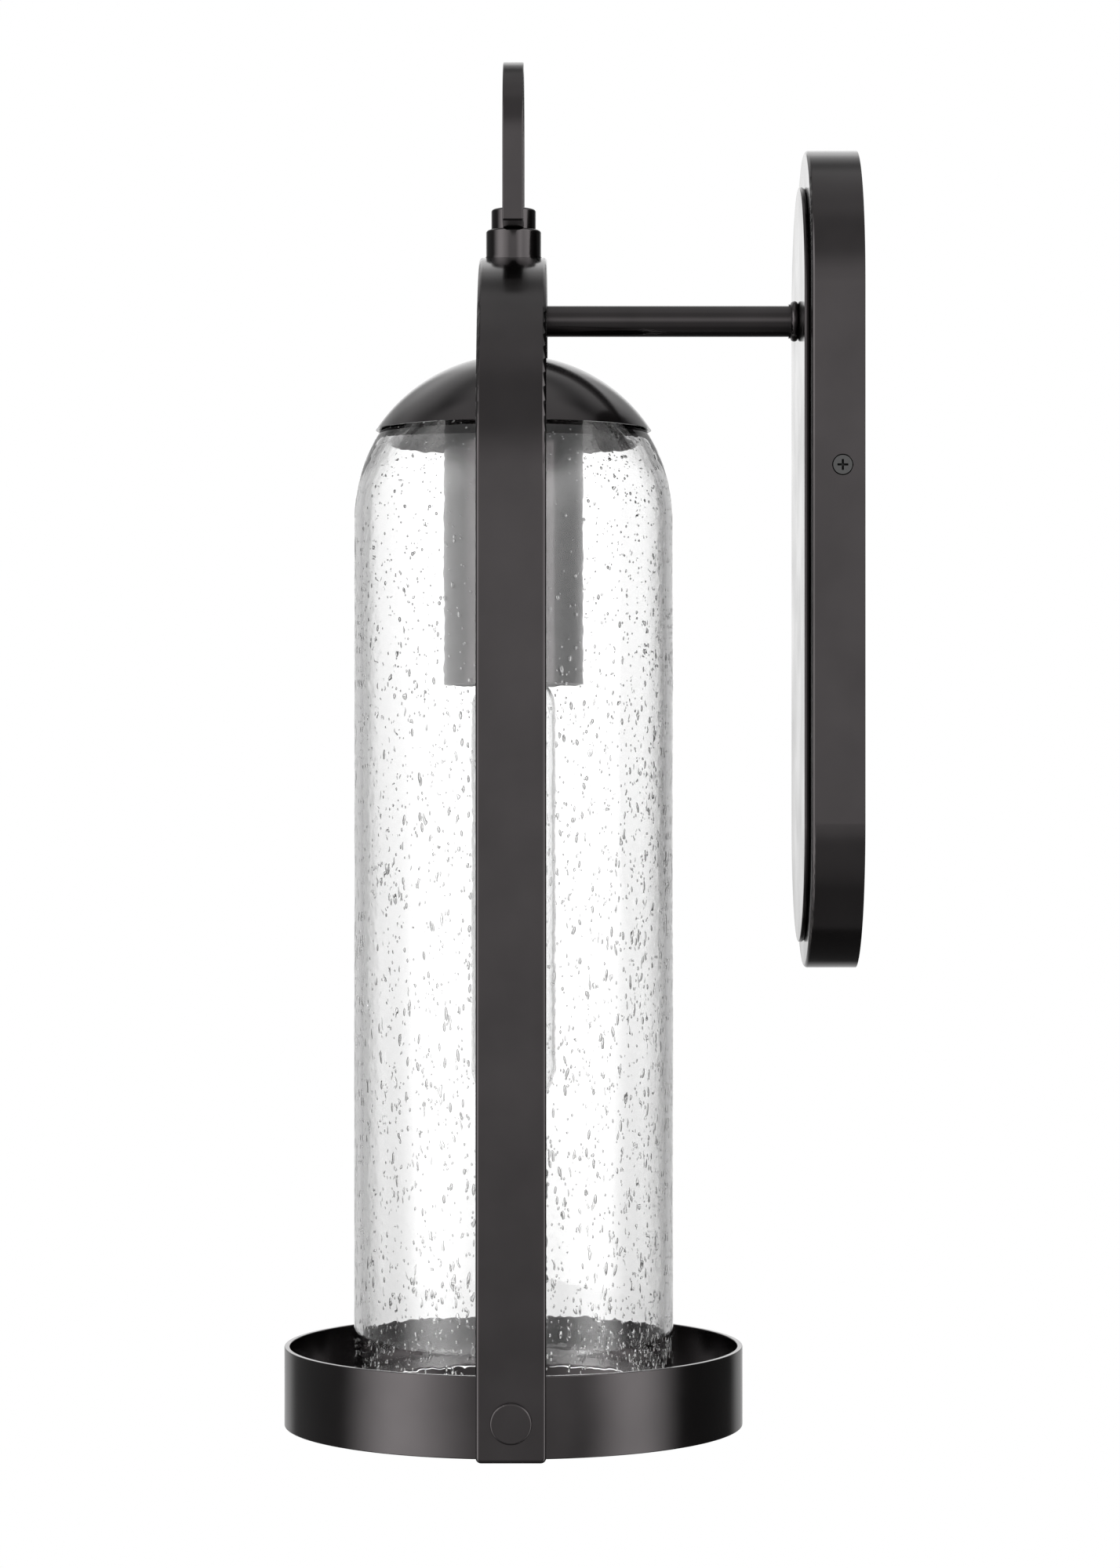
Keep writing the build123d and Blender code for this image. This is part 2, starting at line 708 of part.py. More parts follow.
# Lamp: thin glass tube, screw base, insulator, tip contact, stem, supports and filament
def bulb_glass():
    round_z = bulb_foot + bulb_r
    shoulder_z = bulb_base_foot - bulb_shoulder
    neck_z = bulb_base_foot + bulb_neck_depth
    shoulder_middle = ((bulb_r + bulb_neck_r) / 2 + bulb_wall / 2, bulb_base_foot - bulb_shoulder / 2)

    def envelope(inset):
        tip = bulb_foot + inset
        radius = bulb_r - inset
        middle = (radius * math.sin(math.pi / 4), round_z - radius * math.cos(math.pi / 4))
        return [
            ThreePointArc((0, tip), middle, (radius, round_z)),
            Line((radius, round_z), (radius, shoulder_z)),
            ThreePointArc(
                (radius, shoulder_z),
                (shoulder_middle[0] - inset, shoulder_middle[1]),
                (bulb_neck_r - inset, bulb_base_foot),
            ),
            Line((bulb_neck_r - inset, bulb_base_foot), (bulb_neck_r - inset, neck_z)),
        ]

    edges = envelope(0) + envelope(bulb_wall)
    edges.append(Line((bulb_neck_r, neck_z), (bulb_neck_r - bulb_wall, neck_z)))
    edges.append(Line((0, bulb_foot), (0, bulb_foot + bulb_wall)))
    return lantern_axis * turned_edges(edges)


def bulb_base():
    inner_r = bulb_base_r - bulb_base_wall
    collar_r = inner_r - bulb_base_wall
    top_plate_z = bulb_base_top - bulb_base_wall
    outline = [
        (inner_r, bulb_base_foot),
        (bulb_base_r, bulb_base_foot),
        (bulb_base_r, bulb_base_top - bulb_base_wall),
        (collar_r, bulb_base_top),
        (bulb_tip_r, bulb_base_top),
        (bulb_tip_r, top_plate_z),
        (inner_r, top_plate_z),
    ]
    return lantern_axis * turned(outline)


def bulb_insulator():
    seat_r = bulb_base_r - 2 * bulb_base_wall
    outline = [
        (0, bulb_base_top),
        (seat_r, bulb_base_top),
        (bulb_tip_r, bulb_insulator_top),
        (0, bulb_insulator_top),
    ]
    return lantern_axis * turned(outline)


def bulb_tip_contact():
    tip = along_lantern(bulb_tip_r, bulb_insulator_top, bulb_tip_top)
    top_edge = tip.edges().filter_by(GeomType.CIRCLE).sort_by(Axis.Z)[-1:]
    return lantern_axis * fillet(top_edge, bulb_tip_length / 2)


def stem_wire_x():
    return stem_r / 2


def bulb_stem():
    flare_r = bulb_neck_r - bulb_wall - seat_gap
    flare_z = bulb_base_foot - bulb_shoulder / 2
    outline = [
        (0, bulb_base_foot),
        (flare_r, bulb_base_foot),
        (stem_r, flare_z - bulb_shoulder / 2),
        (stem_r, stem_foot),
        (0, stem_foot),
    ]
    stem = turned(outline)
    for side in (-1, 1):
        wire_x = side * stem_wire_x()
        stem -= rod(support_wire_r + seat_gap, (wire_x, 0, stem_foot), (wire_x, 0, stem_foot + stem_r))
    return lantern_axis * stem


def bulb_support_wires():
    bend_z = stem_foot - stem_r
    spread_z = bend_z - 2 * support_spread
    path = FilletPolyline(
        (stem_wire_x(), 0, stem_foot + stem_r),
        (stem_wire_x(), 0, bend_z),
        (support_spread, 0, spread_z),
        (support_spread, 0, support_foot),
        radius=stem_r,
    )
    return lantern_axis * both_sides(wire(path, support_wire_r))


# Filament: a bar welded to the supports' ends with a tall hairpin between them
def bulb_filament():
    hang_z = support_foot - filament_r - seat_gap
    hairpin_x = support_spread / 3
    path = FilletPolyline(
        (-support_spread, 0, hang_z),
        (-hairpin_x, 0, hang_z),
        (-hairpin_x, 0, hang_z + filament_rise),
        (hairpin_x, 0, hang_z + filament_rise),
        (hairpin_x, 0, hang_z),
        (support_spread, 0, hang_z),
        radius=hairpin_x / 2,
    )
    return lantern_axis * wire(path, filament_r)


# Leads: from the lampholder up the pipe, through the hub and the arm, down inside the canopy
def mains_lead(side):
    lead_x = side * lead_spacing / 2
    drop_y = arm_pipe_end_y + lead_bend_r
    start_z = holder_top - lead_hole_depth
    path = FilletPolyline(
        (lead_x, axis_y, start_z),
        (lead_x, axis_y, arm_z),
        (lead_x, drop_y, arm_z),
        (lead_x, drop_y, lead_tail_z),
        radius=[lead_hub_bend_r, lead_bend_r],
    )
    return wire(path, lead_r)


def lead_black():
    return mains_lead(1)


def lead_white():
    return mains_lead(-1)


nodes = (
    wall_canopy,
    face_plate,
    face_plate_nuts,
    mounting_bracket,
    canopy_side_screws,
    ground_screw,
    ground_tag,
    ground_lead,
    arm_tube,
    arm_bead,
    arm_pipe,
    arm_lock_washer,
    arm_lock_nut,
    centre_hub,
    strap_frame,
    bottom_ring,
    ring_bolts,
    ring_bolt_washers,
    ring_bolt_nuts,
    knob_base,
    knob_top,
    top_stud,
    loop_handle,
    dome_cap,
    cap_gasket,
    glass_shade,
    glass_gasket,
    clamp_washer,
    clamp_nut,
    centre_pipe,
    socket_cup,
    cup_nut,
    lampholder_cap,
    lampholder_set_screw,
    lampholder_body,
    screw_shell,
    centre_contact,
    bulb_glass,
    bulb_base,
    bulb_insulator,
    bulb_tip_contact,
    bulb_stem,
    bulb_support_wires,
    bulb_filament,
    lead_black,
    lead_white,
)

os.makedirs("parts", exist_ok=True)
for node in nodes:
    export_step(node(), f"parts/{node.__name__}.step")
print(f"{len(nodes)} nodes written")
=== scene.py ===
import bpy
import json
import math
import random
from mathutils import Matrix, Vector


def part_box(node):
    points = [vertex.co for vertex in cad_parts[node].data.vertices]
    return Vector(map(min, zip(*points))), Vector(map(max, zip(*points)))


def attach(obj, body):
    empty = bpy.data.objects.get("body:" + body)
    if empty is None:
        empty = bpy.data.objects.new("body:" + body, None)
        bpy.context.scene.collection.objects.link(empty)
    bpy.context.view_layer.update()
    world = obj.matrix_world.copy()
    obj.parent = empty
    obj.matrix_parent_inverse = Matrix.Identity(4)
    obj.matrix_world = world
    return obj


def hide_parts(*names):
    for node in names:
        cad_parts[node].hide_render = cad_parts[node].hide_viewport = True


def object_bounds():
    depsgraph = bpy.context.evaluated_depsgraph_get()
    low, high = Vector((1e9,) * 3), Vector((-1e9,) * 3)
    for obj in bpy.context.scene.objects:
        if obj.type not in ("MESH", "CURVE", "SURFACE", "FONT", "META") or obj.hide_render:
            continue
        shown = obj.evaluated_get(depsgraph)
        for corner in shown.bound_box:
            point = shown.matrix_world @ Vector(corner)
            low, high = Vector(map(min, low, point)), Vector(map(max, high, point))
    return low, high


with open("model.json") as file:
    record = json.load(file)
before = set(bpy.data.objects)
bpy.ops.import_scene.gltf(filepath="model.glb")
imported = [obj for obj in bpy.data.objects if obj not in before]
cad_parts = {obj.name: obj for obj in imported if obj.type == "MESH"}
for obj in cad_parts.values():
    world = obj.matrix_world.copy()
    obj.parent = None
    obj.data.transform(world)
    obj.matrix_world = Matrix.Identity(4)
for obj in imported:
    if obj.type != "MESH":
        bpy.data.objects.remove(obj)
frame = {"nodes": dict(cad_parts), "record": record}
cadLow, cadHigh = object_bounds()
bpy.context.scene.view_settings.view_transform = "Standard"
mm = 0.001
glassLow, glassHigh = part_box("glass_shade")
lanternY = (glassLow.y + glassHigh.y) / 2


# small helpers

def hexColour(code):  # sRGB hex to linear
    channels = [int(code[i:i + 2], 16) / 255 for i in (1, 3, 5)]
    linear = [c / 12.92 if c <= 0.04045 else ((c + 0.055) / 1.055) ** 2.4 for c in channels]
    return (*linear, 1.0)


def addNode(tree, kind, settings=None, links=None):  # links: input name or number -> output socket
    node = tree.nodes.new(kind)
    for name, value in (settings or {}).items():
        if isinstance(name, str) and hasattr(node, name):
            setattr(node, name, value)
        else:
            node.inputs[name].default_value = value
    for name, source in (links or {}).items():
        tree.links.new(source, node.inputs[name])
    return node


def newMaterial(name):  # an empty node tree with its output
    material = bpy.data.materials.new(name)
    material.use_nodes = True
    material.node_tree.nodes.clear()
    output = addNode(material.node_tree, "ShaderNodeOutputMaterial")
    return material, material.node_tree, output


def perMetre(sizeMm):  # noise scale whose features are about this many millimetres
    return 1000.0 / sizeMm


def deselectAll():
    if bpy.context.object and bpy.context.object.mode != "OBJECT":
        bpy.ops.object.mode_set(mode="OBJECT")
    bpy.ops.object.select_all(action="DESELECT")


def makeActive(piece):
    deselectAll()
    piece.select_set(True)
    bpy.context.view_layer.objects.active = piece


def applyModifier(piece, kind, **settings):
    makeActive(piece)
    modifier = piece.modifiers.new(kind.lower(), kind)
    for name, value in settings.items():
        setattr(modifier, name, value)
    bpy.ops.object.modifier_apply(modifier=modifier.name)


# camera: square to the lantern's side, about 1.6 m away

cameraPlace = {"distance": 1.583, "y": -0.1119, "z": -0.1171, "lens": 95.74, "sensor": 36}

cameraData = bpy.data.cameras.new("camera")
cameraData.lens = cameraPlace["lens"]
cameraData.sensor_width = cameraPlace["sensor"]
camera = bpy.data.objects.new("camera", cameraData)
camera.location = (cameraPlace["distance"], cameraPlace["y"], cameraPlace["z"])
camera.rotation_euler = (math.radians(90), 0, math.radians(90))
bpy.context.scene.collection.objects.link(camera)
bpy.context.scene.camera = camera
print("camera set")


# studio: a soft surround seen in the coat and the glass, in degrees from the camera's side (+X)
# each panel: middle azimuth and elevation, half widths of both, softness of both edges, then its
# brightness as mirrored and as seen through the glass

studio = {
    "softboxLeft": (-65, -2, 14, 42, 17, 14, 3.15, 3.15),
    "softboxRight": (63.5, -2, 16.5, 42, 15, 14, 3.0, 3.0),
    "innerLeft": (-43, 12, 14, 27, 14, 20, 2.7, 2.7),
    "innerRight": (33, 17, 13, 16, 13, 12, 2.5, 2.5),
    "sideLeft": (-125, 0, 38, 60, 14, 10, 0.1, 0.1),
    "fillFront": (0, 7.1, 33, 11.9, 12, 12, 1.43, 1.43),
    "fillLow": (0, -22, 60, 20, 12, 14, 0.44, 0.44),
    "floorGlow": (0, -70, 120, 30, 10, 10, 0.18, 0.18),
    "ceilingFront": (0, 42, 105, 24, 9, 9, 0.58, 0.58),
    "ceilingTop": (0, 90, 180, 26, 9, 9, 0.73, 0.73),
    "ceilingBack": (180, 44, 60, 13, 20, 9, 0.6, 1.0),
    "floorBack": (180, -48, 70, 26, 20, 12, 0.0, 0.15),
    "backdropSheet": (180, 14, 13, 20, 4, 16, 0.86, 0.73),
    "backdropHalo": (180, 6, 34, 36, 8, 8, 0.45, 0.2),
    "backGlow": (180, 0, 95, 70, 20, 15, 0.0, 0.25),
}
surround = {"mirrored": 0.06, "through": 0.1}

world = bpy.data.worlds.new("studio")
bpy.context.scene.world = world
world.use_nodes = True
tree = world.node_tree
tree.nodes.clear()
path = addNode(tree, "ShaderNodeLightPath")
direction = addNode(tree, "ShaderNodeTexCoord")
split = addNode(tree, "ShaderNodeSeparateXYZ", links={0: direction.outputs["Generated"]})
azimuth = addNode(tree, "ShaderNodeMath", {"operation": "ARCTAN2"}, {
    0: split.outputs["Y"], 1: split.outputs["X"],
})
elevation = addNode(tree, "ShaderNodeMath", {"operation": "ARCSINE"}, {0: split.outputs["Z"]})


def softBand(angle, middle, half, soft):  # 1 inside, 0 outside, its soft edge centred on half
    away = addNode(tree, "ShaderNodeMath", {"operation": "SUBTRACT", 1: math.radians(middle)}, {0: angle})
    near = addNode(tree, "ShaderNodeMath", {
        "operation": "WRAP", 1: math.pi, 2: -math.pi,
    }, {0: away.outputs[0]})
    size = addNode(tree, "ShaderNodeMath", {"operation": "ABSOLUTE"}, {0: near.outputs[0]})
    band = addNode(tree, "ShaderNodeMapRange", {
        "interpolation_type": "SMOOTHSTEP",
        "From Min": math.radians(half + soft), "From Max": math.radians(half - soft),
    }, {"Value": size.outputs[0]})
    return band.outputs["Result"]


def panel(turn, lift, halfTurn, halfLift, softTurn, softLift):
    wide = softBand(azimuth.outputs[0], turn, halfTurn, softTurn)
    tall = softBand(elevation.outputs[0], lift, halfLift, softLift)
    return addNode(tree, "ShaderNodeMath", {"operation": "MULTIPLY"}, {0: wide, 1: tall}).outputs[0]


def byRay(mirrored, through):  # one value for reflections, one for what is seen through the glass
    return addNode(tree, "ShaderNodeMix", {2: mirrored, 3: through}, {
        0: path.outputs["Is Transmission Ray"],
    }).outputs[0]


level = byRay(surround["mirrored"], surround["through"])
for name, (*place, mirrored, through) in studio.items():
    level = addNode(tree, "ShaderNodeMath", {"operation": "MULTIPLY_ADD"}, {
        0: panel(*place), 1: byRay(mirrored, through), 2: level,
    }).outputs[0]
around = addNode(tree, "ShaderNodeBackground", {"Color": hexColour("#ffffff")}, {"Strength": level})
white = addNode(tree, "ShaderNodeBackground", {"Color": hexColour("#ffffff"), "Strength": 1.0})
mix = addNode(tree, "ShaderNodeMixShader", links={
    0: path.outputs["Is Camera Ray"], 1: around.outputs[0], 2: white.outputs[0],
})
addNode(tree, "ShaderNodeOutputWorld", links={"Surface": mix.outputs[0]})

# one lamp overhead for the shadow on the floor
overhead = {"toCamera": 0.2, "height": 1.6, "size": 1.4, "brightness": 0.5}

lamp = bpy.data.lights.new("overhead", "AREA")
lamp.shape = "SQUARE"
lamp.size = overhead["size"]
lamp.energy = overhead["brightness"] * math.pi * overhead["size"] ** 2
holder = bpy.data.objects.new("overhead", lamp)
holder.location = (overhead["toCamera"], lanternY, overhead["height"])
holder.visible_camera = False
holder.visible_glossy = False
holder.visible_transmission = False
bpy.context.scene.collection.objects.link(holder)
print("studio lit")


# floor: a pale disc well below the hanging lantern, fading out into the white

floorDisc = {
    "drop": 0.45, "radius": 1.5, "corners": 96, "fadeFrom": 0.9, "fadeTo": 1.47, "colour": "#f2f2f0",
}

deselectAll()
bpy.ops.mesh.primitive_circle_add(
    vertices=floorDisc["corners"], radius=floorDisc["radius"], fill_type="NGON",
    location=(0, lanternY, cadLow.z - floorDisc["drop"]),
)
floor = bpy.context.object
floor.name = "floor"
bpy.ops.object.mode_set(mode="EDIT")
bpy.ops.mesh.inset(thickness=floorDisc["radius"] - floorDisc["fadeFrom"])
bpy.ops.object.mode_set(mode="OBJECT")
material, tree, output = newMaterial("paintedBoardMatte")  # matte board, no gloss
place = addNode(tree, "ShaderNodeTexCoord")
length = addNode(tree, "ShaderNodeVectorMath", {"operation": "LENGTH"}, {0: place.outputs["Object"]})
fade = addNode(tree, "ShaderNodeMapRange", {
    "interpolation_type": "SMOOTHSTEP", "From Min": floorDisc["fadeFrom"],
    "From Max": floorDisc["fadeTo"], "To Min": 1.0, "To Max": 0.0,
}, {"Value": length.outputs["Value"]})
board = addNode(tree, "ShaderNodeBsdfDiffuse", {"Color": hexColour(floorDisc["colour"])})
clear = addNode(tree, "ShaderNodeBsdfTransparent")
mix = addNode(tree, "ShaderNodeMixShader", links={
    0: fade.outputs["Result"], 1: clear.outputs[0], 2: board.outputs[0],
})
tree.links.new(mix.outputs[0], output.inputs["Surface"])
floor.data.materials.append(material)
floor.visible_glossy = False
print("floor laid")


# materials

noiseSpan = {"From Min": 0.3, "From Max": 0.7}  # the part of a noise's range that it mostly keeps to

bronze = {
    "dark": "#030303", "light": "#050404", "tint": "#fff6f8", "mottleMm": 30, "grainMm": 0.9,
    "roughLow": 0.13, "roughHigh": 0.19, "ior": 1.55, "glossLow": 0.45, "glossHigh": 0.55,
    "bump": 0.01, "peel": 0.3 * mm,
}


def bronzePowderCoat():  # baked powder coat on steel: satin, near black and warm, faint orange peel
    material, tree, output = newMaterial("bronzePowderCoatSatin")
    place = addNode(tree, "ShaderNodeTexCoord")
    mottle = addNode(tree, "ShaderNodeTexNoise", {
        "Scale": perMetre(bronze["mottleMm"]), "Detail": 3.0,
    }, {"Vector": place.outputs["Object"]})
    colour = addNode(tree, "ShaderNodeMix", {
        "data_type": "RGBA", 6: hexColour(bronze["dark"]), 7: hexColour(bronze["light"]),
    }, {0: mottle.outputs["Fac"]})
    rough = addNode(tree, "ShaderNodeMapRange", {
        **noiseSpan, "To Min": bronze["roughLow"], "To Max": bronze["roughHigh"],
    }, {"Value": mottle.outputs["Fac"]})
    gloss = addNode(tree, "ShaderNodeMapRange", {
        **noiseSpan, "To Min": bronze["glossLow"], "To Max": bronze["glossHigh"],
    }, {"Value": mottle.outputs["Fac"]})
    grain = addNode(tree, "ShaderNodeTexNoise", {
        "Scale": perMetre(bronze["grainMm"]), "Detail": 1.0,
    }, {"Vector": place.outputs["Object"]})
    bump = addNode(tree, "ShaderNodeBump", {
        "Strength": bronze["bump"], "Distance": bronze["peel"],
    }, {"Height": grain.outputs["Fac"]})
    coat = addNode(tree, "ShaderNodeBsdfPrincipled", {
        "IOR": bronze["ior"], "Specular Tint": hexColour(bronze["tint"]),
    }, {
        "Base Color": colour.outputs[2], "Roughness": rough.outputs["Result"], "Normal": bump.outputs[0],
        "Specular IOR Level": gloss.outputs["Result"],
    })
    tree.links.new(coat.outputs[0], output.inputs["Surface"])
    return material


def driftingFinish(name, finish, detail, settings):  # tone and polish drift over a few millimetres
    material, tree, output = newMaterial(name)
    place = addNode(tree, "ShaderNodeTexCoord")
    drift = addNode(tree, "ShaderNodeTexNoise", {
        "Scale": perMetre(finish["size"]), "Detail": detail,
    }, {"Vector": place.outputs["Object"]})
    colour = addNode(tree, "ShaderNodeMix", {
        "data_type": "RGBA", 6: hexColour(finish["dark"]), 7: hexColour(finish["light"]),
    }, {0: drift.outputs["Fac"]})
    smooth, coarse = finish["rough"]
    rough = addNode(tree, "ShaderNodeMapRange", {
        **noiseSpan, "To Min": smooth, "To Max": coarse,
    }, {"Value": drift.outputs["Fac"]})
    surface = addNode(tree, "ShaderNodeBsdfPrincipled", settings, {
        "Base Color": colour.outputs[2], "Roughness": rough.outputs["Result"],
    })
    tree.links.new(surface.outputs[0], output.inputs["Surface"])
    return material


metals = {  # plated and bare metals: two tones, their size in mm, roughness range
    "zincPlatedSteelBright": {"dark": "#a3a4a2", "light": "#c4c5c2", "size": 4, "rough": (0.28, 0.42)},
    "greenDyedZincScrew": {"dark": "#1f6b35", "light": "#2f8a49", "size": 2, "rough": (0.30, 0.45)},
    "drawnCopperWire": {"dark": "#b06a45", "light": "#d08b62", "size": 3, "rough": (0.25, 0.40)},
    "stampedBrass": {"dark": "#b5924a", "light": "#d1b062", "size": 3, "rough": (0.22, 0.36)},
    "rolledAluminiumShell": {"dark": "#c3c4c5", "light": "#dcdcdb", "size": 3, "rough": (0.24, 0.38)},
    "drawnNickelWire": {"dark": "#8f8d88", "light": "#adaba5", "size": 2, "rough": (0.25, 0.38)},
}


def metalFinish(name):  # bright metal, slightly uneven in tone and polish from plating or drawing
    return driftingFinish(name, metals[name], 4.0, {"Metallic": 1.0})


solids = {  # glazes, rubber and sleeves: two tones, their size in mm, roughness range, IOR
    "glazedPorcelain": {
        "dark": "#e4e1d8", "light": "#f1efe8", "size": 6, "rough": (0.08, 0.16), "ior": 1.5,
    },
    "mouldedSilicone": {
        "dark": "#1d1d1e", "light": "#29292a", "size": 2, "rough": (0.55, 0.7), "ior": 1.41,
    },
    "blackVitriteGlass": {
        "dark": "#0d0d10", "light": "#17171b", "size": 3, "rough": (0.10, 0.2), "ior": 1.55,
    },
    "extrudedBlackSleeve": {
        "dark": "#141414", "light": "#1e1e1e", "size": 2, "rough": (0.4, 0.52), "ior": 1.5,
    },
    "extrudedWhiteSleeve": {
        "dark": "#dddcd6", "light": "#ebeae4", "size": 2, "rough": (0.4, 0.52), "ior": 1.5,
    },
}


def solidFinish(name):  # glaze or moulded skin with a slight drift of tone and polish
    return driftingFinish(name, solids[name], 3.0, {"IOR": solids[name]["ior"]})


screwLook = {  # ambient occlusion is 0 down in the recess and 1 on the open face; the gloss follows it, which paints shade into the recess
    "colour": "#070707", "rough": 0.25, "ior": 1.6, "recess": 2 * mm,
    "openLow": 0.4, "openHigh": 0.9, "glossInPaintedShade": 0.02, "glossFace": 0.6,
}


def blackOxideScrewShadedRecess():  # black oxide on steel: satin and near black, with shade painted into the cross recess by dulling its gloss there
    material, tree, output = newMaterial("blackOxideScrewSteel")
    # painted shade: ambient occlusion dulls the gloss down in the cross recess
    recessShade = addNode(tree, "ShaderNodeAmbientOcclusion", {"Distance": screwLook["recess"]})
    gloss = addNode(tree, "ShaderNodeMapRange", {
        "From Min": screwLook["openLow"], "From Max": screwLook["openHigh"],
        "To Min": screwLook["glossInPaintedShade"], "To Max": screwLook["glossFace"],
    }, {"Value": recessShade.outputs["AO"]})
    surface = addNode(tree, "ShaderNodeBsdfPrincipled", {
        "Base Color": hexColour(screwLook["colour"]), "Roughness": screwLook["rough"],
        "IOR": screwLook["ior"],
    }, {"Specular IOR Level": gloss.outputs["Result"]})
    tree.links.new(surface.outputs[0], output.inputs["Surface"])
    return material


seedLook = {
    "tint": "#f6f6f6", "ior": 1.3, "rough": 0.02,
    "rimFrom": 0.2, "rimFull": 0.7, "clearMiddle": 1.0, "clearAtPaintedRim": 0.75,
}


def seedSkin():  # the skin of an air seed: clear, turning faintly hazy towards its rim, a painted stand-in for the light and shade that a real seed's rim reflects
    material, tree, output = newMaterial("airSeedSkin")
    # painted light and shade: the haze grows towards the rim with the view angle, in place of the rim's
    # own reflections
    slant = addNode(tree, "ShaderNodeLayerWeight", {"Blend": 0.5})
    clear = addNode(tree, "ShaderNodeMapRange", {
        "From Min": seedLook["rimFrom"], "From Max": seedLook["rimFull"],
        "To Min": seedLook["clearMiddle"], "To Max": seedLook["clearAtPaintedRim"],
    }, {"Value": slant.outputs["Facing"]})
    skin = addNode(tree, "ShaderNodeBsdfPrincipled", {
        "Base Color": hexColour(seedLook["tint"]), "Roughness": seedLook["rough"], "IOR": seedLook["ior"],
    }, {"Transmission Weight": clear.outputs["Result"]})
    tree.links.new(skin.outputs[0], output.inputs["Surface"])
    return material


glassLook = {"tint": "#fdfdfd", "ior": 1.5, "rippleMm": 5, "ripple": 0.045, "rippleHeight": 1 * mm}


def blownGlass(name, ripple):  # clear soda glass: smooth, with a faint ripple where it was blown
    material, tree, output = newMaterial(name)
    place = addNode(tree, "ShaderNodeTexCoord")
    wave = addNode(tree, "ShaderNodeTexNoise", {
        "Scale": perMetre(glassLook["rippleMm"]), "Detail": 1.0,
    }, {"Vector": place.outputs["Object"]})
    bump = addNode(tree, "ShaderNodeBump", {
        "Strength": ripple, "Distance": glassLook["rippleHeight"],
    }, {"Height": wave.outputs["Fac"]})
    glass = addNode(tree, "ShaderNodeBsdfPrincipled", {
        "Base Color": hexColour(glassLook["tint"]), "Roughness": 0.0, "IOR": glassLook["ior"],
        "Transmission Weight": 1.0,
    }, {"Normal": bump.outputs[0]})
    tree.links.new(glass.outputs[0], output.inputs["Surface"])
    return material


bellGlassMaterial = blownGlass("mouthBlownSeededGlass", glassLook["ripple"])
slotFinish = {  # the record's slots and what each is really made of
    "bronze_coat": bronzePowderCoat(),
    "black_screw": blackOxideScrewShadedRecess(),
    "zinc_steel": metalFinish("zincPlatedSteelBright"),
    "green_screw": metalFinish("greenDyedZincScrew"),
    "copper_wire": metalFinish("drawnCopperWire"),
    "seeded_glass": bellGlassMaterial,
    "silicone": solidFinish("mouldedSilicone"),
    "porcelain": solidFinish("glazedPorcelain"),
    "brass_part": metalFinish("stampedBrass"),
    "lamp_glass": blownGlass("drawnLampGlass", 0.0),  # machine drawn, no ripple
    "lamp_base": metalFinish("rolledAluminiumShell"),
    "lamp_insulator": solidFinish("blackVitriteGlass"),
    "lamp_wire": metalFinish("drawnNickelWire"),
    "black_insulation": solidFinish("extrudedBlackSleeve"),
    "white_insulation": solidFinish("extrudedWhiteSleeve"),
}
for part in frame["record"]["subparts"]:
    meshData = frame["nodes"][part["node"]].data
    meshData.materials.clear()
    meshData.materials.append(slotFinish[part["material_slot"]])


# seeded glass bell: a ring drawn up into a wall and a round head, thickened, with air seeds in the wall

bell = {  # gather: degrees up the head where the glass starts to thicken, is thickest, is thin again
    "wall": 3.2 * mm, "shoulder": 1.25 * mm, "gather": (16, 38, 56),
    "hole": 7.0 * mm, "pad": 15.0 * mm, "segments": 120, "wallRings": 44, "headRings": 24,
    "wave": 0.35 * mm, "waveSize": 0.045, "calmUnderCap": 4 * mm, "calming": 20 * mm,
    "footRound": 1.5 * mm, "footSegments": 3, "sharpEdge": 60,
}
seeds = {
    "count": 6700, "random": 7, "smallShare": 0.78,
    "smallRadius": (0.28, 0.45), "smallStretch": (0.2, 1.2),
    "largeRadius": (0.42, 0.72), "largeStretch": (0.5, 3.2), "largeSegments": 6, "largeRings": 4,
    "inset": 0.45, "lean": 7, "backShare": 0.6, "footHeight": 28 * mm, "footMore": 1.6,
    "lowest": 3.5 * mm, "headShare": 0.93, "roundAbove": 10 * mm, "longBelow": 160 * mm,
}

bellRadius = (glassHigh.x - glassLow.x) / 2
headCentre = glassHigh.z - math.sqrt(bellRadius ** 2 - bell["pad"] ** 2)
headTop = math.asin((glassHigh.z - headCentre) / bellRadius)

deselectAll()
bpy.ops.mesh.primitive_circle_add(
    vertices=bell["segments"], radius=bellRadius, fill_type="NOTHING",
    location=(0, lanternY, glassLow.z),
)
bellPiece = bpy.context.object
bellPiece.name = "seededGlassBell"
bpy.ops.object.mode_set(mode="EDIT")
bpy.ops.mesh.select_all(action="SELECT")
rise = (headCentre - glassLow.z) / bell["wallRings"]
for ring in range(bell["wallRings"]):  # straight wall
    bpy.ops.mesh.extrude_region_move(TRANSFORM_OT_translate={"value": (0, 0, rise)})
radius, height = bellRadius, headCentre
for ring in range(1, bell["headRings"] + 1):  # round head
    angle = headTop * ring / bell["headRings"]
    newRadius, newHeight = bellRadius * math.cos(angle), headCentre + bellRadius * math.sin(angle)
    bpy.ops.mesh.extrude_region_move(TRANSFORM_OT_translate={"value": (0, 0, newHeight - height)})
    shrink = newRadius / radius
    bpy.ops.transform.resize(value=(shrink, shrink, 1), center_override=(0, lanternY, newHeight))
    radius, height = newRadius, newHeight
bpy.ops.mesh.extrude_region_move(TRANSFORM_OT_translate={"value": (0, 0, 0)})  # flat pad to the hole
shrink = bell["hole"] / radius
bpy.ops.transform.resize(value=(shrink, shrink, 1), center_override=(0, lanternY, height))
bpy.ops.mesh.select_all(action="SELECT")
bpy.ops.mesh.normals_make_consistent(inside=False)
bpy.ops.object.mode_set(mode="OBJECT")
bpy.ops.object.transform_apply(location=True, rotation=True, scale=True)

